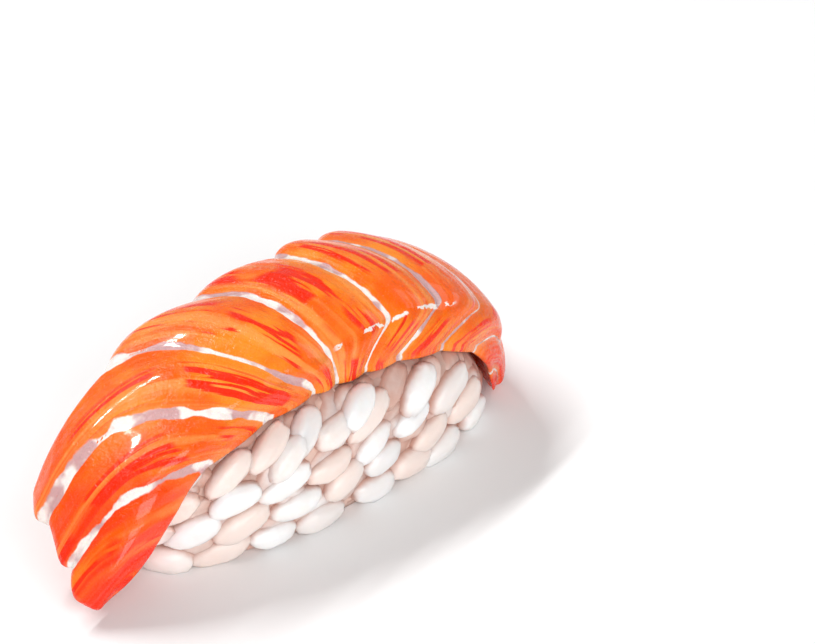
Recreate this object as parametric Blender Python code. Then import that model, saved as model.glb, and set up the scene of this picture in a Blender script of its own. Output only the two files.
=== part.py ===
"""Salmon nigiri: a hand-pressed oblong of sushi rice under one slice of raw salmon.

Metres, +Z up. X runs along the rice and Y across it. Z = 0 is the board that the rice
stands on. The near side, where the salmon's edge shows best, is the -Y side.
"""
import math
import random

import bmesh
import bpy
import numpy as np
from mathutils import Matrix, Vector
from mathutils.bvhtree import BVHTree

# The rice's bare core: a superellipsoid whose widest level is WAIST above the board. It
# would end BELOW_WAIST under that level, but the board cuts it off first.
CORE_LENGTH = 0.0542
CORE_WIDTH = 0.0252
CORE_TOP = 0.0177
WAIST = 0.0068
BELOW_WAIST = 0.0155
ROUNDNESS = 2.45

# The slice presses into the core: rays beside a point's own find it too, PRESS_REACH aside
PRESS_GAP = 0.0004
PRESS_REACH = 0.07
PRESS_RAYS = ((0, 0, 0), (-1, 0, 0), (1, 0, 0), (0, -1, 0), (0, 1, 0), (0, 0, -1), (0, 0, 1))

# One cooked grain, and how the grains that show are laid
GRAIN = Vector((0.0033, 0.0031, 0.0069))  # width, thickness, length
GRAIN_UNEVEN = 0.13
ROW_HEIGHTS = (0.0017, 0.0050, 0.0083, 0.0114, 0.0143)
ROW_LEANS = (5, 12, 22, 32, 36)  # degrees, the grain's rising end towards +X on the near side
LEAN_SPREAD = 16
ROW_PITCH = 0.0066
GRAIN_PROUD = 0.0002  # from the core's surface out to a grain's middle
GRAIN_SEED = 11

# A grain nearer to the slice than CLEAR is pushed down in steps, and dropped past the most
CLEAR = 0.0003
PRESS_STEP = 0.0003
PRESS_MOST = 0.0024

# The salmon slice, laid flat: s runs along it from the middle of the rice, c across it
SLICE_THICK = 0.0043
NEAR_HALF = 0.0077
FAR_HALF = 0.0070
NEAR_SPREAD_RIGHT = 0.0018
CUT_SLANT_NEAR = 0.0023
CUT_SLANT_FAR = 0.0008
LEFT_TIP = 0.0414
LEFT_SLANT = 0.0037
RIGHT_TIP = 0.0359
RIGHT_SLANT = 0.0019
TIP_PULL = 0.0040
NEAR_TAPER = 0.0005
FAR_TAPER = 0.0025
TAPER_POWER = 1.75
TIP_TAPER = 0.0020
RIGHT_TAPER = 0.0022
END_BULGE = 0.0012
EDGE_ROUND = 0.0008
END_THIN = 0.50

# How the slice drapes: the slope of its middle line at each end, and its bend across
LEFT_SLOPE = math.radians(47.5)
LEFT_BEND = 0.0320
RIGHT_SLOPE = math.radians(75)
RIGHT_BEND = 0.0318
CROSS_RADIUS = 0.0177
SLICE_LIFT = 0.0004
SLICE_SHIFT = -0.0016

# Fat lines, each by where it crosses the near edge, how far it leans towards the left end
# by the far edge, how much further it hooks that way, and the power of the hook
FAT_LINES = (
    (-0.0500, 0.0500, 0.0000, 1.0),
    (-0.0256, 0.0300, 1.3000, 4.0),
    (-0.0158, 0.0165, 0.4500, 8.0),
    (-0.0079, 0.0085, 0.0065, 8.0),
    (-0.0011, 0.0000, 0.0054, 5.0),
    (0.0085, 0.0000, 0.0017, 2.5),
    (0.0160, 0.0000, 0.0030, 2.0),
    (0.0235, 0.0000, 0.0045, 1.6),
    (0.0310, 0.0000, 0.0050, 1.6),
    (0.0390, 0.0000, 0.0050, 1.6),
)
LEAST_SEGMENT = 0.002
CUT_TURN_LEFT = 0.0050
CUT_TURN_RIGHT = -0.0070
TOP_RELIEF = 0.0008
FAR_RELIEF = 0.0003
EDGE_RELIEF = 0.0016

# The near cut edge is straighter: its relief, reached over a stretch right of the long tip
CUT_RELIEF = 0.0006
CALM_FROM = -0.0280
CALM_OVER = 0.0080

# Cells of the slice's block along, across and through it
SLICE_CELLS = (72, 12, 3)


def clear_scene():
    for obj in list(bpy.data.objects):
        bpy.data.objects.remove(obj)


def new_collection(name):
    collection = bpy.data.collections.new(name)
    bpy.context.scene.collection.children.link(collection)
    return collection


def material(name, color, roughness):
    made = bpy.data.materials.new(name)
    made.use_nodes = True
    shader = made.node_tree.nodes["Principled BSDF"]
    shader.inputs["Base Color"].default_value = (*color, 1.0)
    shader.inputs["Roughness"].default_value = roughness
    shader.inputs["Metallic"].default_value = 0.0
    return made


def object_of(bm, name, collection, finish):
    mesh = bpy.data.meshes.new(name)
    bm.to_mesh(mesh)
    bm.free()
    mesh.materials.append(finish)
    obj = bpy.data.objects.new(name, mesh)
    collection.objects.link(obj)
    return obj


# Rice core

def core_half_sizes(z):
    return Vector((CORE_LENGTH / 2, CORE_WIDTH / 2, CORE_TOP - WAIST if z > 0 else BELOW_WAIST))


def core_point(direction):
    """Where a ray from the middle of the core's widest level leaves the core."""
    half = core_half_sizes(direction.z)
    size = sum(abs(d / h) ** ROUNDNESS for d, h in zip(direction, half))
    return Vector((0, 0, WAIST)) + direction / size ** (1 / ROUNDNESS)


def core_normal(point):
    local = point - Vector((0, 0, WAIST))
    half = core_half_sizes(local.z)
    slope = [math.copysign(abs(p / h) ** (ROUNDNESS - 1) / h, p) for p, h in zip(local, half)]
    return Vector(slope).normalized()


def pressed_point(direction, tree):
    """A point of the core, drawn in towards its middle where the slice would be in the way."""
    middle = Vector((0, 0, WAIST))
    reach = (core_point(direction) - middle).length
    for beside in PRESS_RAYS:
        ray = (direction + PRESS_REACH * Vector(beside)).normalized()
        place, normal, _, gap = tree.ray_cast(middle, ray)
        if place:
            reach = min(reach, gap - PRESS_GAP / max(0.25, abs(ray.dot(normal))))
    return middle + direction * reach


def core_bmesh(tree):
    bm = bmesh.new()
    bmesh.ops.create_uvsphere(bm, u_segments=40, v_segments=22, radius=1)
    for vert in bm.verts:
        vert.co = pressed_point(vert.co.normalized(), tree)
    return bm


# Salmon slice

def bent_line(length, slope, bend, steps=400):
    """Points down one half of the slice's middle line, whose slope grows to its full
    value over the bend and then holds."""
    s = np.linspace(0, length, steps)
    angle = slope * np.minimum(s / bend, 1) ** 2
    step = s[1] - s[0]
    run = np.concatenate(([0], np.cumsum(np.cos(angle[1:]) * step)))
    drop = np.concatenate(([0], np.cumsum(np.sin(angle[1:]) * step)))
    return s, run, drop, angle


def middle_line(s):
    """Place (x, z) and slope of the slice's underside at s along its middle."""
    left, right = s < 0, s >= 0
    x, z, slope = np.zeros_like(s), np.zeros_like(s), np.zeros_like(s)
    top = CORE_TOP + SLICE_LIFT
    for side, sign, full, bend in ((left, -1, LEFT_SLOPE, LEFT_BEND), (right, 1, RIGHT_SLOPE, RIGHT_BEND)):
        table, run, drop, angle = bent_line(0.06, full, bend)
        along = np.abs(s[side])
        x[side] = SLICE_SHIFT + sign * np.interp(along, table, run)
        z[side] = top - np.interp(along, table, drop)
        slope[side] = sign * np.interp(along, table, angle)
    return x, z, slope


def smooth(x):
    x = np.clip(x, 0, 1)
    return x * x * (3 - 2 * x)


def slice_plan(a, b, h):
    """(s, c) on the flat slice of a point of the block, whose a, b and h run from -1 to 1
    along, across and up. The cut sides slant, so they reach further out at the bottom."""
    low = (1 - h) / 2
    left = TIP_PULL - LEFT_TIP + LEFT_SLANT * (b + 1) / 2 - END_BULGE * (1 - b * b)
    left = left - TIP_PULL * ((1 - b) / 2) ** 6
    right = RIGHT_TIP - RIGHT_SLANT * (b + 1) / 2 + END_BULGE * (1 - b * b)
    s = left * (1 - a) / 2 + right * (1 + a) / 2
    left_end = np.clip(-a, 0, 1) ** TAPER_POWER
    narrow_right = RIGHT_TAPER * np.clip(a, 0, 1) ** 4
    point = TIP_TAPER * np.clip(-a, 0, 1) ** 12
    spread = NEAR_SPREAD_RIGHT * smooth((a + 0.1) / 0.6)
    near = NEAR_HALF + (spread + CUT_SLANT_NEAR) * low
    near = near - NEAR_TAPER * left_end - point - narrow_right
    far = FAR_HALF + CUT_SLANT_FAR * low - FAR_TAPER * left_end - narrow_right
    c = -near * (1 - b) / 2 + far * (1 + b) / 2
    return s, c


def fat_phase(s, c, h):
    """Counts fat lines along the slice: a whole number on each line. Down the near cut side
    the lines run on to the right at the left end, and turn back, as chevrons, elsewhere."""
    across = np.clip((c + NEAR_HALF) / (NEAR_HALF + FAR_HALF), 0, 1)
    side = smooth((-c - NEAR_HALF + 0.0010) / 0.0016) * np.minimum((1 - h) / 1.5, 1)
    turn = CUT_TURN_LEFT + (CUT_TURN_RIGHT - CUT_TURN_LEFT) * smooth((s + 0.006) / 0.014)
    lines = [near - lean * across - hook * across ** power + turn * side
             for near, lean, hook, power in FAT_LINES]
    for k in reversed(range(len(lines) - 1)):
        lines[k] = np.minimum(lines[k], lines[k + 1] - LEAST_SEGMENT)
    phase = np.zeros_like(s)
    for k in range(len(FAT_LINES) - 1):
        gap = lines[k + 1] - lines[k]
        phase += np.clip((s - lines[k]) / gap, 0, 1)
    return phase


def pillow(phase):
    """Height of a muscle segment, 0 in the round groove at a fat line and most between two."""
    return np.hypot(np.abs(np.sin(math.pi * phase)) ** 0.7, 0.3) - 0.3


def slice_point(a, b, h):
    s, c = slice_plan(a, b, h)
    swell = pillow(fat_phase(s, c, h))
    thick = SLICE_THICK * (1 - END_THIN * np.abs(a) ** 4)
    relief = TOP_RELIEF + FAR_RELIEF * ((1 + b) / 2) ** 3
    n = (thick + relief * swell) * (h + 1) / 2
    calm = smooth((s - CALM_FROM) / CALM_OVER) * smooth(-b)
    edge = EDGE_RELIEF + (CUT_RELIEF - EDGE_RELIEF) * calm
    c = c + edge * swell * np.sign(b) * np.abs(b) ** 8
    s = s + EDGE_RELIEF * swell * np.sign(a) * np.abs(a) ** 30
    x, z, slope = middle_line(s)
    turn = c / CROSS_RADIUS
    up = n * np.cos(turn) - CROSS_RADIUS * (1 - np.cos(turn))
    y = CROSS_RADIUS * np.sin(turn) + n * np.sin(turn)
    return np.stack([x + up * np.sin(slope), y, z + up * np.cos(slope)], axis=-1)


def rounded_block(cells):
    """A block from -1 to 1 each way, cut into cells, as rows of (a, b, h), whose edges are
    rounded by EDGE_ROUND once it has the slice's size."""
    bm = bmesh.new()
    bmesh.ops.create_cube(bm, size=2)
    for axis, cuts in enumerate(cells):
        along = [e for e in bm.edges if abs((e.verts[0].co - e.verts[1].co)[axis]) > 1e-6]
        bmesh.ops.subdivide_edges(bm, edges=along, cuts=cuts - 1, use_grid_fill=True)
    half = np.array([(LEFT_TIP + RIGHT_TIP) / 2, (NEAR_HALF + FAR_HALF) / 2, SLICE_THICK / 2])
    points = np.array([v.co for v in bm.verts])
    points[:, 1] = np.sin(points[:, 1] * 1.35) / math.sin(1.35)
    points *= half
    core = np.clip(points, -(half - EDGE_ROUND), half - EDGE_ROUND)
    out = points - core
    reach = np.linalg.norm(out, axis=1, keepdims=True)
    return bm, (core + EDGE_ROUND * out / np.maximum(reach, 1e-12)) / half


def slice_bmesh():
    bm, block = rounded_block(SLICE_CELLS)
    for vert, place in zip(bm.verts, slice_point(*block.T)):
        vert.co = Vector(place)
    bmesh.ops.recalc_face_normals(bm, faces=bm.faces)
    return bm


# Rice grains

def row_outline(z, steps=720):
    """The core's outline at a height, as points and the length run so far at each."""
    level = abs(z - WAIST) / core_half_sizes(z - WAIST).z
    shrink = (1 - level ** ROUNDNESS) ** (1 / ROUNDNESS)
    points = []
    for k in range(steps + 1):
        turn = 2 * math.pi * k / steps
        cos, sin = math.cos(turn), math.sin(turn)
        x = CORE_LENGTH / 2 * math.copysign(abs(cos) ** (2 / ROUNDNESS), cos)
        y = CORE_WIDTH / 2 * math.copysign(abs(sin) ** (2 / ROUNDNESS), sin)
        points.append(Vector((x * shrink, y * shrink, z)))
    run = [0.0]
    for one, two in zip(points, points[1:]):
        run.append(run[-1] + (two - one).length)
    return points, run


def grain_places():
    """Matrix and size of each grain on the core's sides, row over row from the board up."""
    draw = random.Random(GRAIN_SEED)
    for row, (height, lean) in enumerate(zip(ROW_HEIGHTS, ROW_LEANS)):
        points, run = row_outline(height)
        count = round(run[-1] / ROW_PITCH)
        for k in range(count):
            share = (k + 0.5 * (row % 2) + draw.uniform(-0.22, 0.22)) / count % 1
            at = points[min(range(len(run)), key=lambda i: abs(run[i] - share * run[-1]))]
            at = at + Vector((0, 0, draw.uniform(-0.0004, 0.0004)))
            normal = core_normal(at)
            level = Vector((0, 0, 1)).cross(normal).normalized()
            rise = normal.cross(level)
            tilt = math.radians(lean + draw.uniform(-LEAN_SPREAD, LEAN_SPREAD))
            long = math.cos(tilt) * level + math.sin(tilt) * rise
            wide = normal.cross(long)
            size = Vector([g * draw.uniform(1 - GRAIN_UNEVEN, 1 + GRAIN_UNEVEN) for g in GRAIN])
            centre = at + normal * (GRAIN_PROUD + draw.uniform(-0.0003, 0.0003))
            turn = Matrix((wide, normal, long)).transposed().to_4x4()
            yield Matrix.Translation(centre) @ turn, size, rise


def grain_bmesh(size):
    bm = bmesh.new()
    bmesh.ops.create_uvsphere(bm, u_segments=7, v_segments=6, radius=0.5)
    bmesh.ops.scale(bm, vec=size, verts=bm.verts)
    return bm


def touches(points, tree):
    """Whether any point is inside the slice, or nearer to it than CLEAR."""
    for point in points:
        near, normal, _, gap = tree.find_nearest(point)
        if gap < CLEAR or (point - near).dot(normal) < 0:
            return True
    return False


def lay_grains(collection, finish, tree):
    """Grains under the slice's edge are pressed down the core until they clear it."""
    for number, (place, size, rise) in enumerate(grain_places()):
        bm = grain_bmesh(size)
        bmesh.ops.transform(bm, matrix=place, verts=bm.verts)
        pressed = 0.0
        while touches([v.co for v in bm.verts], tree) and pressed < PRESS_MOST:
            bmesh.ops.translate(bm, vec=-rise * PRESS_STEP, verts=bm.verts)
            pressed += PRESS_STEP
        if pressed < PRESS_MOST:
            object_of(bm, f"grain.{number:03d}", collection, finish)
        else:
            bm.free()


def apply_boolean(obj, operation, solver, collection=None, cutter=None):
    modifier = obj.modifiers.new(operation.title(), "BOOLEAN")
    modifier.operation = operation
    modifier.solver = solver
    if collection:
        modifier.operand_type = "COLLECTION"
        modifier.collection = collection
    else:
        modifier.object = cutter
    graph = bpy.context.evaluated_depsgraph_get()
    mesh = bpy.data.meshes.new_from_object(obj.evaluated_get(graph))
    obj.modifiers.clear()
    obj.data = mesh


def board_cutter(collection, finish):
    """Everything below the board, where the lowest grains are pressed flat."""
    bm = bmesh.new()
    bmesh.ops.create_cube(bm, size=1)
    bmesh.ops.scale(bm, vec=(0.1, 0.1, 0.02), verts=bm.verts)
    bmesh.ops.translate(bm, vec=(0, 0, -0.01), verts=bm.verts)
    return object_of(bm, "board_cutter", collection, finish)


def keep_outer_shell(obj):
    """Drop the walls of sealed hollows between grains, and any loose scrap."""
    bm = bmesh.new()
    bm.from_mesh(obj.data)
    unseen = set(bm.faces)
    shells = []
    while unseen:
        shell = set()
        edge_of_shell = [unseen.pop()]
        while edge_of_shell:
            face = edge_of_shell.pop()
            shell.add(face)
            beside = {other for edge in face.edges for other in edge.link_faces} & unseen
            unseen -= beside
            edge_of_shell.extend(beside)
        shells.append(shell)
    outer = max(shells, key=lambda shell: sum(face.calc_area() for face in shell))
    spare = [face for face in bm.faces if face not in outer]
    bmesh.ops.delete(bm, geom=spare, context="FACES")
    bm.to_mesh(obj.data)
    bm.free()


def shade(obj):
    obj.data.shade_smooth()
    obj.data.set_sharp_from_angle(angle=math.radians(50))


clear_scene()
nigiri = new_collection("salmon_nigiri")
helpers = new_collection("helpers")

salmon_finish = material("salmon_flesh", (0.96, 0.27, 0.06), 0.28)
rice_finish = material("rice_grains", (0.90, 0.87, 0.82), 0.42)

salmon = object_of(slice_bmesh(), "salmon", nigiri, salmon_finish)
slice_tree = BVHTree.FromPolygons(
    [v.co for v in salmon.data.vertices], [p.vertices for p in salmon.data.polygons]
)

rice = object_of(core_bmesh(slice_tree), "rice", nigiri, rice_finish)
lay_grains(helpers, rice_finish, slice_tree)
apply_boolean(rice, "UNION", "MANIFOLD", collection=helpers)
for grain in list(helpers.objects):
    bpy.data.objects.remove(grain)
board = board_cutter(helpers, rice_finish)
apply_boolean(rice, "DIFFERENCE", "MANIFOLD", cutter=board)
bpy.data.objects.remove(board)
keep_outer_shell(rice)

for piece in (salmon, rice):
    shade(piece)
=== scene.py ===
"""The looks of a salmon nigiri, built around its packed rice and salmon solids. Its sizes are in
metres, and the patterns of its materials in millimetres."""

import math
import random

import bmesh
import bpy
import numpy as np
from mathutils import Matrix, Vector, noise
from mathutils.bvhtree import BVHTree


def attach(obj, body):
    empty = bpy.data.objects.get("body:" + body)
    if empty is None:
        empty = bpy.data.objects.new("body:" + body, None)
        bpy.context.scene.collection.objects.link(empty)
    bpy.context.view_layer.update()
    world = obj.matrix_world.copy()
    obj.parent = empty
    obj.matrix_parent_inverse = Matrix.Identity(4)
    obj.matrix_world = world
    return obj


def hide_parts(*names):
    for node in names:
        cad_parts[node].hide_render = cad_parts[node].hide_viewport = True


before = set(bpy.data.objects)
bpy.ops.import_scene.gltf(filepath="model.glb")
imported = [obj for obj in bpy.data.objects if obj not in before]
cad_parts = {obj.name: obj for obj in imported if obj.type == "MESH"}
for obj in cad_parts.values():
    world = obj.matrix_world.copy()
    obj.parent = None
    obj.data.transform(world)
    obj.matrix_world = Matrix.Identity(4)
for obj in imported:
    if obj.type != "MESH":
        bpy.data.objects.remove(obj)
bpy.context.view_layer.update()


# The salmon: one slice of raw fish about 4 mm thick, cut on the slant and draped over the rice
# so that one end hangs free. It is a fine block with rounded edges, mapped point by point
# through the solid's own measures, and it swells in each muscle segment between two fat lines.

SLICE_THICK = 0.0043
NEAR_HALF = 0.0077
FAR_HALF = 0.0070
NEAR_SPREAD_RIGHT = 0.0018
SPREAD_FROM = -0.1
SPREAD_OVER = 0.6
CUT_SLANT_NEAR = 0.0023
CUT_SLANT_FAR = 0.0008
LEFT_TIP = 0.0414
LEFT_SLANT = 0.0037
RIGHT_TIP = 0.0359
RIGHT_SLANT = 0.0019
TIP_PULL = 0.0040
TIP_PULL_POWER = 6
NEAR_TAPER = 0.0005
FAR_TAPER = 0.0025
TAPER_POWER = 1.75
TIP_TAPER = 0.0020
TIP_TAPER_POWER = 12
RIGHT_TAPER = 0.0022
RIGHT_TAPER_POWER = 4
END_BULGE = 0.0012
EDGE_ROUND = 0.0008
END_THIN = 0.50
END_THIN_POWER = 4
LEFT_SLOPE = math.radians(47.5)
LEFT_BEND = 0.0320
RIGHT_SLOPE = math.radians(75)
RIGHT_BEND = 0.0318
DRAPE_REACH = 0.06
DRAPE_STEPS = 400
CROSS_RADIUS = 0.0177
UNDERSIDE_TOP = 0.0181
SLICE_SHIFT = -0.0016

# Each fat line: its place on the near edge, then its lean and its hook across the slice, and
# the power that the hook grows by. The widths are half of each line's, in mm.
FAT_LINES = (
    (-0.0500, 0.0500, 0.0000, 1.0),
    (-0.0256, 0.0300, 1.3000, 4.0),
    (-0.0158, 0.0165, 0.4500, 8.0),
    (-0.0079, 0.0085, 0.0065, 8.0),
    (-0.0011, 0.0000, 0.0054, 5.0),
    (0.0085, 0.0000, 0.0017, 2.5),
    (0.0160, 0.0000, 0.0030, 2.0),
    (0.0235, 0.0000, 0.0045, 1.6),
    (0.0310, 0.0000, 0.0050, 1.6),
    (0.0390, 0.0000, 0.0050, 1.6),
)
FAT_HALF_WIDTHS = (0.00, 0.28, 0.40, 0.42, 0.44, 0.42, 0.34, 0.14, 0.10, 0.10)
LEAST_SEGMENT = 0.002
LAST_SEGMENT = 0.008
CUT_TURN_LEFT = 0.0050
CUT_TURN_RIGHT = -0.0070
CUT_TURN_FROM = -0.006
CUT_TURN_OVER = 0.014
CUT_TURN_DEPTH = 1.5
CUT_INSIDE = 0.0010
CUT_OVER = 0.0016
SWELL_POWER = 0.7
SWELL_SOFT = 0.3
TOP_RELIEF = 0.0008
FAR_RELIEF = 0.0003
FAR_RELIEF_POWER = 3
EDGE_RELIEF = 0.0016
SIDE_RELIEF_POWER = 8
END_RELIEF_POWER = 30
CUT_RELIEF = 0.0006
CALM_FROM = -0.0280
CALM_OVER = 0.0080
SLICE_CELLS = (360, 96, 20)
EDGE_CROWDING = 1.35

FLESH_RED = (0.930, 0.115, 0.001, 1)
FLESH_ORANGE = (0.950, 0.260, 0.014, 1)
FLESH_PALE = (0.955, 0.370, 0.085, 1)
END_RED = (0.900, 0.032, 0.001, 1)
STROKE_RED = (0.880, 0.024, 0.001, 1)
# The fat's cream, which is also the colour of the painted highlight along the near cut's edge
FAT_AND_HIGHLIGHT_CREAM = (0.93, 0.84, 0.79, 1)
FAT_MAUVE = (0.62, 0.36, 0.36, 1)
WANDER = 0.8
WANDER_SEGMENT = 8.0
FAT_RAGGED = 0.30
FAT_SOFT = 0.16
# Where the painted highlight along the near cut's upper edge lies: how far past the near half it is
# centred, and the middle of its run along the slice, in mm
HIGHLIGHT_OUTSIDE = 0.1
HIGHLIGHT_MIDDLE = 9.0

# How closely the fibres' streaks follow each other along the slice, across it and through it
FIBRE_STRETCH = (9.0, 0.085, 0.4)
FIBRE_FINE = (40.0, 0.5, 1.0)


def drape_line(slope, bend):
    """How a line laid over the rice runs out, drops and turns along its length."""
    s = np.linspace(0, DRAPE_REACH, DRAPE_STEPS)
    angle = slope * np.minimum(s / bend, 1) ** 2
    step = s[1] - s[0]
    run = np.concatenate(([0], np.cumsum(np.cos(angle[1:]) * step)))
    drop = np.concatenate(([0], np.cumsum(np.sin(angle[1:]) * step)))
    return s, run, drop, angle


def slice_underside(s):
    """Where the slice's underside runs over the rice, to the left and the right of its top."""
    x, z, slope = np.zeros_like(s), np.zeros_like(s), np.zeros_like(s)
    sides = ((s < 0, -1, LEFT_SLOPE, LEFT_BEND), (s >= 0, 1, RIGHT_SLOPE, RIGHT_BEND))
    for side, sign, full, bend in sides:
        table, run, drop, angle = drape_line(full, bend)
        along = np.abs(s[side])
        x[side] = SLICE_SHIFT + sign * np.interp(along, table, run)
        z[side] = UNDERSIDE_TOP - np.interp(along, table, drop)
        slope[side] = sign * np.interp(along, table, angle)
    return x, z, slope


def smooth(x):
    x = np.clip(x, 0, 1)
    return x * x * (3 - 2 * x)


def slice_plan(a, b, h):
    """The places along and across the slice of points of a block that reaches from -1 to 1:
    from the long tip to the tucked end, from the near side to the far one, and upwards."""
    low = (1 - h) / 2
    left = TIP_PULL - LEFT_TIP + LEFT_SLANT * (b + 1) / 2 - END_BULGE * (1 - b * b)
    left = left - TIP_PULL * ((1 - b) / 2) ** TIP_PULL_POWER
    right = RIGHT_TIP - RIGHT_SLANT * (b + 1) / 2 + END_BULGE * (1 - b * b)
    s = left * (1 - a) / 2 + right * (1 + a) / 2
    left_end = np.clip(-a, 0, 1) ** TAPER_POWER
    narrow_right = RIGHT_TAPER * np.clip(a, 0, 1) ** RIGHT_TAPER_POWER
    point = TIP_TAPER * np.clip(-a, 0, 1) ** TIP_TAPER_POWER
    spread = NEAR_SPREAD_RIGHT * smooth((a - SPREAD_FROM) / SPREAD_OVER)
    near = NEAR_HALF + (spread + CUT_SLANT_NEAR) * low
    near = near - NEAR_TAPER * left_end - point - narrow_right
    far = FAR_HALF + CUT_SLANT_FAR * low - FAR_TAPER * left_end - narrow_right
    c = -near * (1 - b) / 2 + far * (1 + b) / 2
    return s, c


def fat_phase(s, c, h):
    """Counts fat lines along the slice, and gives the width in mm of the segment that a point
    is in, half the width in mm of the fat line nearest to it, and how far past the last line
    it lies, as a share of one more segment."""
    across = np.clip((c + NEAR_HALF) / (NEAR_HALF + FAR_HALF), 0, 1)
    side = smooth((-c - NEAR_HALF + CUT_INSIDE) / CUT_OVER)
    side = side * np.minimum((1 - h) / CUT_TURN_DEPTH, 1)
    turned = smooth((s - CUT_TURN_FROM) / CUT_TURN_OVER)
    turn = CUT_TURN_LEFT + (CUT_TURN_RIGHT - CUT_TURN_LEFT) * turned
    lines = [near - lean * across - hook * across ** power + turn * side
             for near, lean, hook, power in FAT_LINES]
    for k in reversed(range(len(lines) - 1)):
        lines[k] = np.minimum(lines[k], lines[k + 1] - LEAST_SEGMENT)
    slants = [(lean + hook * power * across ** (power - 1)) / (NEAR_HALF + FAR_HALF)
              for _, lean, hook, power in FAT_LINES]
    steep = [1 / np.hypot(1, slant) for slant in slants]
    phase = np.zeros_like(s)
    width = np.full_like(s, LAST_SEGMENT * 1000)
    thick = np.full_like(s, FAT_HALF_WIDTHS[-1])
    for k in range(len(FAT_LINES) - 1):
        gap = lines[k + 1] - lines[k]
        share = (s - lines[k]) / gap
        phase += np.clip(share, 0, 1)
        inside = (share > 0) & (share <= 1)
        lean = np.where(share < 0.5, steep[k], steep[k + 1])
        width = np.where(inside, gap * 1000 * lean, width)
        nearest = np.where(share < 0.5, FAT_HALF_WIDTHS[k], FAT_HALF_WIDTHS[k + 1])
        thick = np.where(inside, nearest, thick)
    past = np.clip((s - lines[-1]) / LAST_SEGMENT, 0, 0.5)
    return phase, width, thick, past


def slice_surface(a, b, h):
    """The places of the block's points on the draped slice, and the marks and spots that its
    colours follow: the fat lines counted, the segment's width, and the place on the slice in
    mm, the height from -1 to 1, and the fat line's half width."""
    s, c = slice_plan(a, b, h)
    phase, width, thick, past = fat_phase(s, c, h)
    swell = np.hypot(np.abs(np.sin(math.pi * phase)) ** SWELL_POWER, SWELL_SOFT) - SWELL_SOFT
    deep = SLICE_THICK * (1 - END_THIN * np.abs(a) ** END_THIN_POWER)
    relief = TOP_RELIEF + FAR_RELIEF * ((1 + b) / 2) ** FAR_RELIEF_POWER
    n = (deep + relief * swell) * (h + 1) / 2
    calm = smooth((s - CALM_FROM) / CALM_OVER) * smooth(-b)
    edge = EDGE_RELIEF + (CUT_RELIEF - EDGE_RELIEF) * calm
    c = c + edge * swell * np.sign(b) * np.abs(b) ** SIDE_RELIEF_POWER
    s = s + EDGE_RELIEF * swell * np.sign(a) * np.abs(a) ** END_RELIEF_POWER
    x, z, slope = slice_underside(s)
    turn = c / CROSS_RADIUS
    up = n * np.cos(turn) - CROSS_RADIUS * (1 - np.cos(turn))
    y = CROSS_RADIUS * np.sin(turn) + n * np.sin(turn)
    places = np.stack([x + up * np.sin(slope), y, z + up * np.cos(slope)], axis=-1)
    marks = np.stack([phase + past, width, c * 1000], axis=-1)
    spots = np.stack([s * 1000, h, thick], axis=-1)
    return places, marks, spots


def mesh_from(bm, name):
    mesh = bpy.data.meshes.new(name)
    bm.to_mesh(mesh)
    bm.free()
    mesh.shade_smooth()
    return mesh


def add_object(name, data):
    thing = bpy.data.objects.new(name, data)
    bpy.context.scene.collection.objects.link(thing)
    return thing


bm = bmesh.new()
bmesh.ops.create_cube(bm, size=2)
for axis, cuts in enumerate(SLICE_CELLS):
    along = [e for e in bm.edges if abs((e.verts[0].co - e.verts[1].co)[axis]) > 1e-6]
    bmesh.ops.subdivide_edges(bm, edges=along, cuts=cuts - 1, use_grid_fill=True)
block = np.array([v.co for v in bm.verts])
block[:, 1] = np.sin(block[:, 1] * EDGE_CROWDING) / math.sin(EDGE_CROWDING)
half = np.array([(LEFT_TIP + RIGHT_TIP) / 2, (NEAR_HALF + FAR_HALF) / 2, SLICE_THICK / 2])
core = np.clip(block * half, -(half - EDGE_ROUND), half - EDGE_ROUND)
out = block * half - core
reach = np.maximum(np.linalg.norm(out, axis=1, keepdims=True), 1e-12)
block = (core + EDGE_ROUND * out / reach) / half
places, marks, spots = slice_surface(*block.T)
for vert, place in zip(bm.verts, places):
    vert.co = place
bmesh.ops.recalc_face_normals(bm, faces=bm.faces)
salmon = add_object("salmon_slice", mesh_from(bm, "salmon_slice"))
for title, values in (("marks", marks), ("spots", spots)):
    layer = salmon.data.attributes.new(title, "FLOAT_VECTOR", "POINT")
    layer.data.foreach_set("vector", values.astype(np.float32).ravel())


def patches_group():
    """A node group for soft-edged patches over a surface, such as paler flesh, cloudy starch or
    a broken film of moisture. As its noise goes from Low to High, it goes from Least to Most."""
    noise_inputs = ("Scale", "Detail", "Roughness")
    range_inputs = {"Low": "From Min", "High": "From Max", "Least": "To Min", "Most": "To Max"}
    group = bpy.data.node_groups.new("patches", "ShaderNodeTree")
    group.interface.new_socket("Vector", in_out="INPUT", socket_type="NodeSocketVector")
    for name in (*noise_inputs, *range_inputs):
        group.interface.new_socket(name, in_out="INPUT", socket_type="NodeSocketFloat")
    group.interface.new_socket("Patches", in_out="OUTPUT", socket_type="NodeSocketFloat")
    given = group.nodes.new("NodeGroupInput").outputs
    cloud = group.nodes.new("ShaderNodeTexNoise")
    soften = group.nodes.new("ShaderNodeMapRange")
    soften.interpolation_type = "SMOOTHSTEP"
    result = group.nodes.new("NodeGroupOutput").inputs
    for name in ("Vector", *noise_inputs):
        group.links.new(given[name], cloud.inputs[name])
    for name, socket in range_inputs.items():
        group.links.new(given[name], soften.inputs[socket])
    group.links.new(cloud.outputs["Fac"], soften.inputs["Value"])
    group.links.new(soften.outputs["Result"], result["Patches"])
    return group


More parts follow.
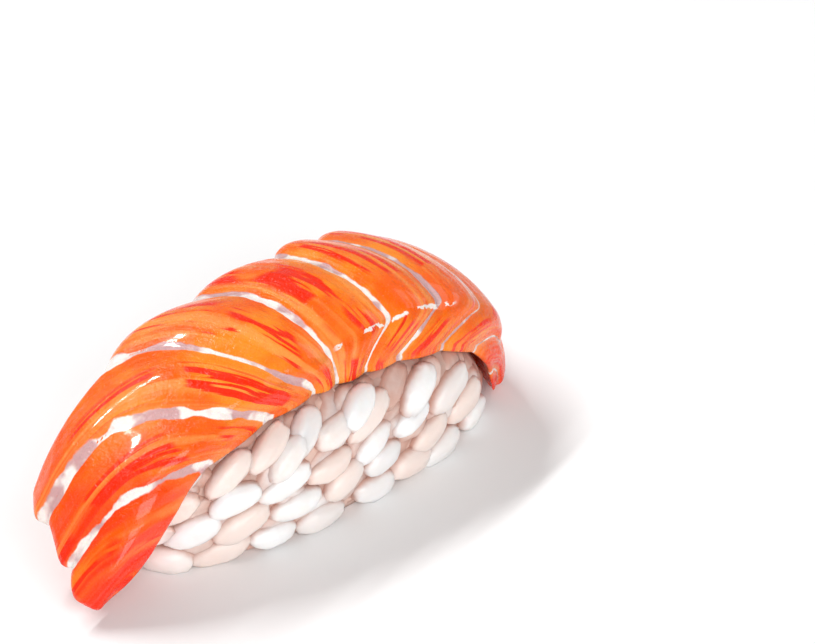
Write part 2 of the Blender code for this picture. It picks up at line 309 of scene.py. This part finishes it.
class Nodes:
    """Lays the nodes of one material, so that a line of code reads as one step of the finish."""

    patches_tree = patches_group()

    def __init__(self, name):
        self.material = bpy.data.materials.new(name)
        self.material.use_nodes = True
        self.tree = self.material.node_tree
        self.shader = self.tree.nodes["Principled BSDF"]

    def put(self, socket, value):
        if isinstance(value, bpy.types.NodeSocket):
            self.tree.links.new(value, socket)
        else:
            socket.default_value = value

    def add(self, kind, values=(), output=0, **settings):
        node = self.tree.nodes.new("ShaderNode" + kind)
        for name, value in settings.items():
            setattr(node, name, value)
        for key, value in dict(values).items():
            self.put(node.inputs[key], value)
        return node.outputs[output]

    def math(self, operation, a, b=0.0, c=0.0):
        return self.add("Math", {0: a, 1: b, 2: c}, operation=operation)

    def ramp(self, value, low, high, to_low=0.0, to_high=1.0):
        ends = {"From Min": low, "From Max": high, "To Min": to_low, "To Max": to_high}
        return self.add("MapRange", {"Value": value, **ends}, interpolation_type="SMOOTHSTEP")

    def noise(self, vector, scale, detail=2.0, roughness=0.5):
        inputs = {"Vector": vector, "Scale": scale, "Detail": detail, "Roughness": roughness}
        return self.add("TexNoise", inputs)

    def patches(self, vector, scale, detail, low, high, least=0.0, most=1.0, roughness=0.5):
        inputs = {"Vector": vector, "Scale": scale, "Detail": detail, "Roughness": roughness}
        ends = {"Low": low, "High": high, "Least": least, "Most": most}
        return self.add("Group", {**inputs, **ends}, node_tree=self.patches_tree)

    def mix(self, share, one, two):
        """Mixes two colours, whose sockets are numbers 6 and 7 in, and 2 out."""
        return self.add("Mix", {0: share, 6: one, 7: two}, output=2, data_type="RGBA")

    def bump(self, height, strength, distance, invert=False):
        inputs = {"Height": height, "Strength": strength, "Distance": distance}
        return self.add("Bump", inputs, invert=invert)

    def millimetres(self):
        """The place of a point on its object, in mm."""
        place = self.add("TexCoord", output="Object")
        return self.add("VectorMath", {0: place, "Scale": 1000.0}, operation="SCALE")

    def vector(self, x, y, z):
        return self.add("CombineXYZ", {0: x, 1: y, 2: z})

    def parts(self, title):
        """The three numbers that the mesh carries at each point under this title."""
        carried = self.add("Attribute", output="Vector", attribute_name=title)
        return self.add("SeparateXYZ", {0: carried}).node.outputs

    def finish(self, values):
        """Sets the shader's sockets: what is the same all over directly, the rest by a link."""
        for key, value in values.items():
            self.put(self.shader.inputs[key], value)


flesh = Nodes("salmon_flesh")
phase, width, across = flesh.parts("marks")
along, height, half_line = flesh.parts("spots")
mm = flesh.millimetres()

# Fat lines: they wander less in a narrow segment, swell and thin out, and have ragged edges
wander = flesh.math("SUBTRACT", flesh.noise(mm, 0.16, 2.0), 0.5)
most_wander = flesh.math("DIVIDE", WANDER, flesh.math("MAXIMUM", width, WANDER_SEGMENT))
line = flesh.math("MULTIPLY_ADD", wander, most_wander, phase)
share = flesh.math("FRACT", flesh.math("ADD", line, 0.5))
off_line = flesh.math("ABSOLUTE", flesh.math("SUBTRACT", share, 0.5))
gap = flesh.math("MULTIPLY", off_line, width)
ragged = flesh.math("SUBTRACT", flesh.noise(mm, 1.1, 3.0), 0.5)
gap = flesh.math("MULTIPLY_ADD", ragged, FAT_RAGGED, gap)
swelling = flesh.patches(mm, 0.20, 1.0, low=0.36, high=0.64, least=0.35, most=1.45)
thickness = flesh.math("MULTIPLY", swelling, half_line)
fat = flesh.ramp(gap, thickness, flesh.math("ADD", thickness, FAT_SOFT), 1.0, 0.0)

# Flesh: orange and red patches, paler and redder streaks along the fibres, and redder ends
fibre = [flesh.math("MULTIPLY", *pair) for pair in zip((line, across, height), FIBRE_STRETCH)]
fibre = flesh.vector(*fibre)
tone = flesh.patches(mm, 0.13, 3.0, low=0.36, high=0.66)
color = flesh.mix(tone, FLESH_RED, FLESH_ORANGE)
pale = flesh.patches(fibre, 0.6, 3.0, low=0.48, high=0.64, most=0.6)
color = flesh.mix(pale, color, FLESH_PALE)
ends = flesh.math("ADD", flesh.ramp(along, -14.0, -34.0), flesh.ramp(along, 20.0, 33.0, 0.0, 0.9))
streaky = flesh.patches(fibre, 0.7, 2.0, low=0.30, high=0.60, least=0.35)
ends = flesh.math("MULTIPLY", ends, streaky)
ends = flesh.math("MULTIPLY", ends, flesh.ramp(across, 3.0, -5.0, 0.3, 1.0))
color = flesh.mix(ends, color, END_RED)
strokes = flesh.patches(fibre, 0.95, 2.5, low=0.495, high=0.53, roughness=0.6)
strokes = flesh.math("MULTIPLY", strokes, flesh.patches(mm, 0.13, 1.0, low=0.42, high=0.49))
strokes = flesh.math("MULTIPLY", strokes, flesh.ramp(off_line, 0.12, 0.30))
color = flesh.mix(strokes, color, STROKE_RED)
mauve = flesh.patches(mm, 0.18, 3.0, low=0.47, high=0.55)
color = flesh.mix(fat, color, flesh.mix(mauve, FAT_AND_HIGHLIGHT_CREAM, FAT_MAUVE))

# Painted highlight: white flecks along the upper edge of the near cut, on the right half, that stand
# in for light glinting off that edge
off_edge = flesh.math("ABSOLUTE", flesh.math("ADD", across, NEAR_HALF * 1000 + HIGHLIGHT_OUTSIDE))
off_edge = flesh.math("MULTIPLY_ADD", ragged, 0.5, off_edge)
off_middle = flesh.math("ABSOLUTE", flesh.math("SUBTRACT", along, HIGHLIGHT_MIDDLE))
edge_highlight = flesh.math("MULTIPLY", flesh.ramp(off_edge, 0.24, 0.14), flesh.ramp(height, 0.4, 0.8))
edge_highlight = flesh.math("MULTIPLY", edge_highlight, flesh.ramp(off_middle, 9.5, 8.5))
edge_highlight = flesh.math("MULTIPLY", edge_highlight, flesh.patches(mm, 0.55, 3.0, low=0.50, high=0.53))
color = flesh.mix(edge_highlight, color, FAT_AND_HIGHLIGHT_CREAM)

# Low relief of fat, fibres and soft lumps
fine = [flesh.math("MULTIPLY", *pair) for pair in zip((line, across, height), FIBRE_FINE)]
fibres = flesh.noise(flesh.vector(*fine), 1.0, 2.0)
relief = flesh.math("MULTIPLY_ADD", fat, 0.25, flesh.math("MULTIPLY", fibres, 0.35))
relief = flesh.math("MULTIPLY_ADD", flesh.noise(mm, 0.7, 4.0, 0.6), 1.8, relief)
flesh.finish({
    "Base Color": color,
    "Normal": flesh.bump(relief, strength=0.7, distance=0.0003),
    "Roughness": flesh.patches(mm, 0.9, 2.0, low=0.35, high=0.65, least=0.20, most=0.36),
    "Specular IOR Level": 0.2,
    "Subsurface Weight": 0.12,
    "Subsurface Radius": (1.0, 0.35, 0.15),
    "Subsurface Scale": 0.0012,
    "Coat Weight": flesh.patches(
        fibre, 1.1, 3.0, low=0.46, high=0.52, least=0.08, most=0.7, roughness=0.6
    ),
    "Coat Roughness": 0.06,
})
salmon.data.materials.append(flesh.material)
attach(salmon, "root")
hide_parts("salmon")


# The rice: a hand-pressed oblong of cooked short grains, stuck to each other by their
# starch. Its middle is one packed lump, here the bare core of the solid, seen only in the
# gaps between the grains that lie on it. Its colour is painted shade: a pink-beige, deeper
# between its soft cells, that stands in for the shade in those gaps.

CORE_LENGTH = 0.0542
CORE_WIDTH = 0.0252
CORE_TOP = 0.0177
WAIST = 0.0068
BELOW_WAIST = 0.0155
ROUNDNESS = 2.45
PRESS_GAP = 0.0004
PRESS_REACH = 0.07
PRESS_RAYS = ((0, 0, 0), (-1, 0, 0), (1, 0, 0), (0, -1, 0), (0, 1, 0), (0, 0, -1), (0, 0, 1))
LEAST_FACING = 0.25
CORE_CELLS = (120, 60)
# The core's painted shade: a paler and a deeper pink-beige
CORE_SHADE_PALE = (0.74, 0.53, 0.45, 1)
CORE_SHADE_DEEP = (0.48, 0.31, 0.26, 1)
slice_tree = BVHTree.FromPolygons(
    [v.co for v in salmon.data.vertices], [p.vertices for p in salmon.data.polygons]
)


def core_half_sizes(z):
    """Half the lump's length and width, and its reach above its waist or below it."""
    return Vector((CORE_LENGTH / 2, CORE_WIDTH / 2, CORE_TOP - WAIST if z > 0 else BELOW_WAIST))


def core_point(direction):
    half = core_half_sizes(direction.z)
    size = sum(abs(d / h) ** ROUNDNESS for d, h in zip(direction, half))
    return Vector((0, 0, WAIST)) + direction / size ** (1 / ROUNDNESS)


def core_normal(point):
    local = point - Vector((0, 0, WAIST))
    half = core_half_sizes(local.z)
    slope = [math.copysign(abs(p / h) ** (ROUNDNESS - 1) / h, p) for p, h in zip(local, half)]
    return Vector(slope).normalized()


def pressed_point(direction, tree):
    """A point of the lump, drawn in towards its middle where the slice would be in the way."""
    middle = Vector((0, 0, WAIST))
    reach = (core_point(direction) - middle).length
    for beside in PRESS_RAYS:
        ray = (direction + PRESS_REACH * Vector(beside)).normalized()
        place, normal, _, gap = tree.ray_cast(middle, ray)
        if place:
            reach = min(reach, gap - PRESS_GAP / max(LEAST_FACING, abs(ray.dot(normal))))
    return middle + direction * reach


bm = bmesh.new()
bmesh.ops.create_uvsphere(bm, u_segments=CORE_CELLS[0], v_segments=CORE_CELLS[1], radius=1)
for vert in bm.verts:
    vert.co = pressed_point(vert.co.normalized(), slice_tree)
    vert.co.z = max(vert.co.z, 0)
rice_core = add_object("rice_core", mesh_from(bm, "rice_core"))

lump = Nodes("rice_core")
mm = lump.millimetres()
cells = lump.add("TexVoronoi", {"Vector": mm, "Scale": 0.35, "Smoothness": 0.6}, feature="SMOOTH_F1")
# Painted shade: pink-beige, deeper between the soft cells, in place of the shade in the gaps between
# the grains
lump.finish({
    "Base Color": lump.mix(lump.ramp(cells, 0.2, 0.8), CORE_SHADE_PALE, CORE_SHADE_DEEP),
    "Normal": lump.bump(cells, strength=0.8, distance=0.0008, invert=True),
    "Roughness": lump.patches(mm, 0.8, 2.0, low=0.3, high=0.7, least=0.4, most=0.6),
})
rice_core.data.materials.append(lump.material)
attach(rice_core, "root")
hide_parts("rice")


# The grains that show: plump cooked grains about 7 mm long, pressed against the lump row
# over row. Those of the solid come first, in the same places. Others fill the gaps between
# them, set deeper. The lowest are pressed flat on the board.

GRAIN = Vector((0.0033, 0.0031, 0.0069))
GRAIN_UNEVEN = 0.13
GRAIN_BLUNT = 2.35
GRAIN_LUMPS = 0.10
LUMP_SCALE = 4.5
GRAIN_BOW = 0.10
GRAIN_TAPER = 0.18
GRAIN_BELLY = 0.10
GRAIN_SLIM = 0.93
DENT_DEPTH = 0.05
DENT_WIDTH = 0.14
GRAIN_CELLS = (18, 13)
SHAPE_SEED = 5
ROW_HEIGHTS = (0.0017, 0.0050, 0.0083, 0.0114, 0.0143)
ROW_LEANS = (5, 12, 22, 32, 36)
LEAN_SPREAD = 16
ROW_PITCH = 0.0066
GRAIN_PROUD = 0.0002
PITCH_SPREAD = 0.22
HEIGHT_SPREAD = 0.0004
PROUD_SPREAD = 0.0003
CLEAR = 0.0003
PRESS_STEP = 0.0003
PRESS_MOST = 0.0024
GRAIN_SEED = 11

# Each layer of filler grains: its seed, the height of each row and its lean in degrees, how
# far apart the grains are, and how far they stand out
FILLER_LAYERS = (
    (23, (0.0030, 0.0062, 0.0094, 0.0124, 0.0150), (20, -10, 40, 15, 50), 0.0058, -0.0011),
    (31, (0.0016, 0.0046, 0.0078, 0.0109, 0.0138, 0.0158), (-5, 30, 10, 55, 20, 40), 0.0064, -0.0014),
    (47, (0.0023, 0.0054, 0.0087, 0.0117, 0.0146), (35, 0, 22, -5, 30), 0.0066, -0.0012),
)

GRAIN_WHITE = (0.95, 0.94, 0.935, 1)
GRAIN_CLOUD = (0.90, 0.865, 0.845, 1)
GRAIN_TAN = (0.87, 0.68, 0.60, 1)
GRAIN_GREY = (0.80, 0.77, 0.76, 1)
# The painted shade in the gaps between the grains
GRAIN_GAP_SHADE = (0.62, 0.37, 0.30, 1)


def row_outline(z, steps=720):
    """Points round the lump at one height, and how far round it each one is."""
    level = abs(z - WAIST) / core_half_sizes(z - WAIST).z
    shrink = (1 - level ** ROUNDNESS) ** (1 / ROUNDNESS)
    points = []
    for k in range(steps + 1):
        turn = 2 * math.pi * k / steps
        cos, sin = math.cos(turn), math.sin(turn)
        x = CORE_LENGTH / 2 * math.copysign(abs(cos) ** (2 / ROUNDNESS), cos)
        y = CORE_WIDTH / 2 * math.copysign(abs(sin) ** (2 / ROUNDNESS), sin)
        points.append(Vector((x * shrink, y * shrink, z)))
    run = [0.0]
    for one, two in zip(points, points[1:]):
        run.append(run[-1] + (two - one).length)
    return points, run


def grain_places(seed, heights, leans, pitch, proud):
    """Where each grain of a layer lies and how it is turned, its size, the way up the lump's
    side from it, and the place and the normal of the lump's face under it."""
    draw = random.Random(seed)
    for row, (height, lean) in enumerate(zip(heights, leans)):
        points, run = row_outline(height)
        count = round(run[-1] / pitch)
        for k in range(count):
            share = (k + 0.5 * (row % 2) + draw.uniform(-PITCH_SPREAD, PITCH_SPREAD)) / count % 1
            at = points[min(range(len(run)), key=lambda i: abs(run[i] - share * run[-1]))]
            at = at + Vector((0, 0, draw.uniform(-HEIGHT_SPREAD, HEIGHT_SPREAD)))
            normal = core_normal(at)
            level = Vector((0, 0, 1)).cross(normal).normalized()
            rise = normal.cross(level)
            tilt = math.radians(lean + draw.uniform(-LEAN_SPREAD, LEAN_SPREAD))
            long = math.cos(tilt) * level + math.sin(tilt) * rise
            wide = normal.cross(long)
            size = Vector([g * draw.uniform(1 - GRAIN_UNEVEN, 1 + GRAIN_UNEVEN) for g in GRAIN])
            centre = at + normal * (proud + draw.uniform(-PROUD_SPREAD, PROUD_SPREAD))
            turn = Matrix((wide, normal, long)).transposed().to_4x4()
            yield Matrix.Translation(centre) @ turn, size, rise, at, normal


def grain_shape(draw):
    """A cooked grain of unit size: blunt ends, one of them narrower, a slight bow, a shallow
    dent down its back and soft lumps."""
    bm = bmesh.new()
    bmesh.ops.create_uvsphere(bm, u_segments=GRAIN_CELLS[0], v_segments=GRAIN_CELLS[1], radius=0.5)
    bow = draw.uniform(-GRAIN_BOW, GRAIN_BOW)
    taper = draw.uniform(-GRAIN_TAPER, GRAIN_TAPER)
    offset = Vector((draw.uniform(0, 50), 0, 0))
    for vert in bm.verts:
        blunt = sum(abs(2 * d) ** GRAIN_BLUNT for d in vert.co) ** (1 / GRAIN_BLUNT)
        lump = 1 + GRAIN_LUMPS * noise.noise(vert.co * LUMP_SCALE + offset)
        x, y, z = vert.co * lump / blunt
        t = 2 * z
        fat = 1 + GRAIN_BELLY * (1 - t * t) - taper * t
        dent = DENT_DEPTH * math.exp(-(x / DENT_WIDTH) ** 2) * (1 - t * t)
        y = y * fat - (dent if y > 0 else 0)
        vert.co = Vector((x * fat * GRAIN_SLIM + bow * t * t, y * GRAIN_SLIM, z))
    return bm


def touches(points, tree):
    """Whether a point lies in the slice or closer to it than the clearance."""
    for point in points:
        near, normal, _, gap = tree.find_nearest(point)
        if gap < CLEAR or (point - near).dot(normal) < 0:
            return True
    return False


draw = random.Random(SHAPE_SEED)
grains = bmesh.new()
kernel = grains.verts.layers.float_vector.new("kernel")
shown_layer = (GRAIN_SEED, ROW_HEIGHTS, ROW_LEANS, ROW_PITCH, GRAIN_PROUD)
for layer in (shown_layer, *FILLER_LAYERS):
    for place, size, rise, at, normal in grain_places(*layer):
        one = grain_shape(draw)
        bmesh.ops.scale(one, vec=size, verts=one.verts)
        bmesh.ops.transform(one, matrix=place, verts=one.verts)
        pressed = 0.0
        while touches([v.co for v in one.verts], slice_tree) and pressed < PRESS_MOST:
            bmesh.ops.translate(one, vec=-rise * PRESS_STEP, verts=one.verts)
            pressed += PRESS_STEP
        if pressed < PRESS_MOST:
            tint, mood = draw.random(), draw.random()
            for vert in one.verts:
                vert.co.z = max(vert.co.z, 0)
            old = len(grains.verts)
            piece = bpy.data.meshes.new("grain")
            one.to_mesh(piece)
            grains.from_mesh(piece)
            bpy.data.meshes.remove(piece)
            grains.verts.ensure_lookup_table()
            for vert in grains.verts[old:]:
                vert[kernel] = Vector((tint, (vert.co - at).dot(normal) * 1000, mood))
        one.free()
rice_grains = add_object("rice_grains", mesh_from(grains, "rice_grains"))

starch = Nodes("rice_grains")
tint, depth, mood = starch.parts("kernel")
mm = starch.millimetres()
cloud = starch.patches(mm, 0.35, 3.0, low=0.35, high=0.68)
white = starch.mix(cloud, GRAIN_WHITE, GRAIN_CLOUD)
white = starch.mix(starch.ramp(tint, 0.50, 0.90, 0.0, 0.75), white, GRAIN_TAN)
white = starch.mix(starch.ramp(mood, 0.65, 0.85, 0.0, 0.6), white, GRAIN_GREY)
# Painted shade: the parts of the grains nearest the lump, and so most of the grains set deeper, turn
# pink-brown in place of the shade in the gaps between grains
deep = starch.ramp(starch.math("MULTIPLY_ADD", starch.noise(mm, 0.8), 0.5, depth), 1.4, 0.2)
rough = starch.noise(mm, 2.2, 3.0)
starch.finish({
    "Base Color": starch.mix(deep, white, GRAIN_GAP_SHADE),
    "Normal": starch.bump(rough, strength=0.35, distance=0.0001),
    "Roughness": starch.ramp(rough, 0.3, 0.7, 0.30, 0.46),
    "Subsurface Weight": 0.25,
    "Subsurface Radius": (1.0, 0.75, 0.6),
    "Subsurface Scale": 0.0012,
    "Coat Weight": 0.4,
    "Coat Roughness": 0.2,
})
rice_grains.data.materials.append(starch.material)
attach(rice_grains, "root")
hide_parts("rice")


# The studio: a plain pale floor that runs out of view, a long soft light behind and above
# that glances off the wet flesh, a broad one from the near left for the rice, a faint one from
# the right that fills the shadow side, and pale air.

FLOOR_HALF = 2.0
FLOOR_DROP = 0.00005
FLOOR_GREY = (0.90, 0.90, 0.90, 1)
FLOOR_PALE = (0.93, 0.93, 0.93, 1)
LIGHT_AIM = Vector((0, 0, 0.01))
AIR_LIGHT = 0.26

# Each light: its name, its place, the length and width of its face, and its power in watts
LIGHTS = (
    ("back_strip", (-0.08, 0.30, 0.42), (0.36, 0.025), 2.1),
    ("near_left", (-0.22, -0.44, 0.26), (0.45, 0.45), 2.35),
    ("right_fill", (0.42, -0.06, 0.28), (0.30, 0.30), 0.35),
)

bm = bmesh.new()
bmesh.ops.create_grid(bm, x_segments=1, y_segments=1, size=FLOOR_HALF)
floor = add_object("floor", mesh_from(bm, "floor"))
floor.location.z = -FLOOR_DROP
paper = Nodes("floor")
fleck = paper.noise(paper.add("TexCoord", output="Object"), 40.0, 2.0)
paper.finish({"Base Color": paper.mix(fleck, FLOOR_GREY, FLOOR_PALE), "Roughness": 0.7})
floor.data.materials.append(paper.material)

for name, place, size, power in LIGHTS:
    light = bpy.data.lights.new(name, "AREA")
    light.shape = "RECTANGLE"
    light.size, light.size_y = size
    light.energy = power
    lamp = add_object(name, light)
    lamp.location = place
    lamp.rotation_euler = (Vector(place) - LIGHT_AIM).to_track_quat("Z", "Y").to_euler()

world = bpy.data.worlds.new("studio")
world.use_nodes = True
air = world.node_tree.nodes["Background"]
air.inputs["Color"].default_value = (1, 1, 1, 1)
air.inputs["Strength"].default_value = AIR_LIGHT
bpy.context.scene.world = world
bpy.context.scene.view_settings.view_transform = "Standard"


# The camera: a long lens, turned to the left of the piece's front and raised as the photo's
# view is. It aims a little to the right of the frame's origin and above it.

AZIMUTH = math.radians(-44)
ELEVATION = math.radians(35)
CAMERA_BACK = 0.778
AIM_RIGHT = 0.01338
AIM_UP = 0.01509
LENS = 300
SENSOR_WIDTH = 36
NEAREST = 0.01
FARTHEST = 20

back = Vector((
    math.sin(AZIMUTH) * math.cos(ELEVATION),
    -math.cos(AZIMUTH) * math.cos(ELEVATION),
    math.sin(ELEVATION),
))
right = Vector((math.cos(AZIMUTH), math.sin(AZIMUTH), 0))
up = back.cross(right)
camera_data = bpy.data.cameras.new("camera")
camera_data.lens = LENS
camera_data.sensor_width = SENSOR_WIDTH
camera_data.clip_start = NEAREST
camera_data.clip_end = FARTHEST
camera = add_object("camera", camera_data)
camera_place = Matrix.Translation(right * AIM_RIGHT + up * AIM_UP + back * CAMERA_BACK)
camera.matrix_world = camera_place @ Matrix((right, up, back)).transposed().to_4x4()
bpy.context.scene.camera = camera
